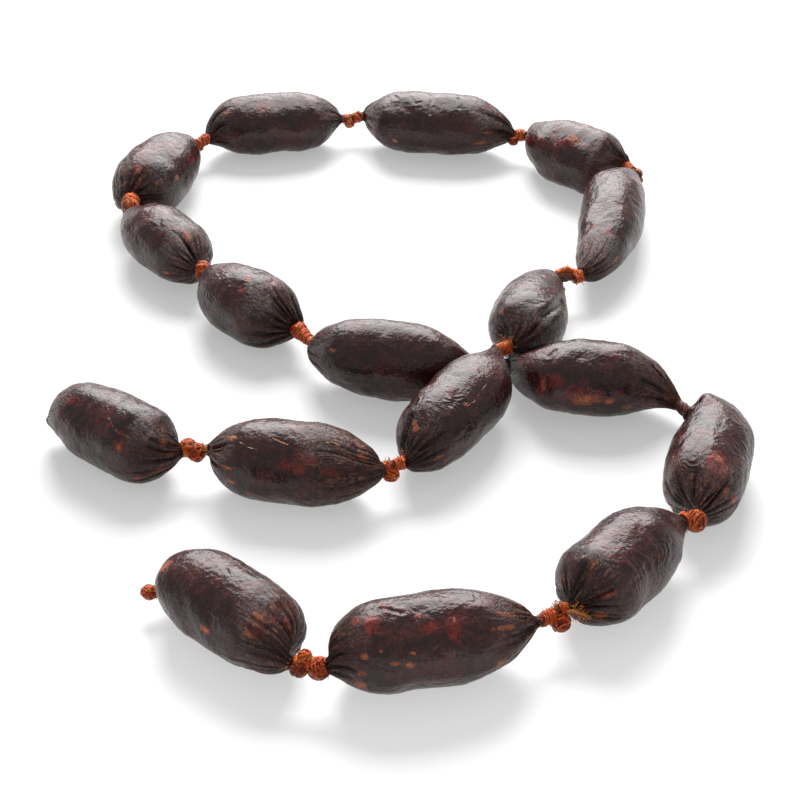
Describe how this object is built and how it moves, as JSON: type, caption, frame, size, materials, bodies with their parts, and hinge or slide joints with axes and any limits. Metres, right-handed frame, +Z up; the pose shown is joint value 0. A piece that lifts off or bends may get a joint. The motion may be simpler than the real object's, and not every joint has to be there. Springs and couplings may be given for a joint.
{
  "type": "string of sausage links",
  "caption": "String of dark dry-cured sausage links tied off with twine, lying in a loop that crosses over itself, with two free ends.",
  "frame": {"origin": "middle of the string's bounding box, on the surface that it lies on", "axes": "+Z up, +Y to the back of the loop, +X to the right when the two free ends are seen at the front left"},
  "size_m": [0.328, 0.4892, 0.0416],
  "materials": {
    "casing": "satin, dark red-brown dried casing with pleats, red patches and orange fat spots",
    "twine": "greasy twisted twine stained orange-red"
  },
  "bodies": {
    "root": {"link_01": "casing", "link_02": "casing", "link_03": "casing", "link_04": "casing", "link_05": "casing", "link_06": "casing", "link_07": "casing", "link_08": "casing", "link_09": "casing", "link_10": "casing", "link_11": "casing", "link_12": "casing", "link_13": "casing", "link_14": "casing", "link_15": "casing", "link_16": "casing", "link_17": "casing", "tie_00": "twine", "tie_01": "twine", "tie_02": "twine", "tie_03": "twine", "tie_04": "twine", "tie_05": "twine", "tie_06": "twine", "tie_07": "twine", "tie_08": "twine", "tie_09": "twine", "tie_10": "twine", "tie_11": "twine", "tie_12": "twine", "tie_13": "casing", "tie_14": "twine", "tie_15": "twine", "tie_16": "twine", "tie_17": "twine"}
  },
  "joints": []
}
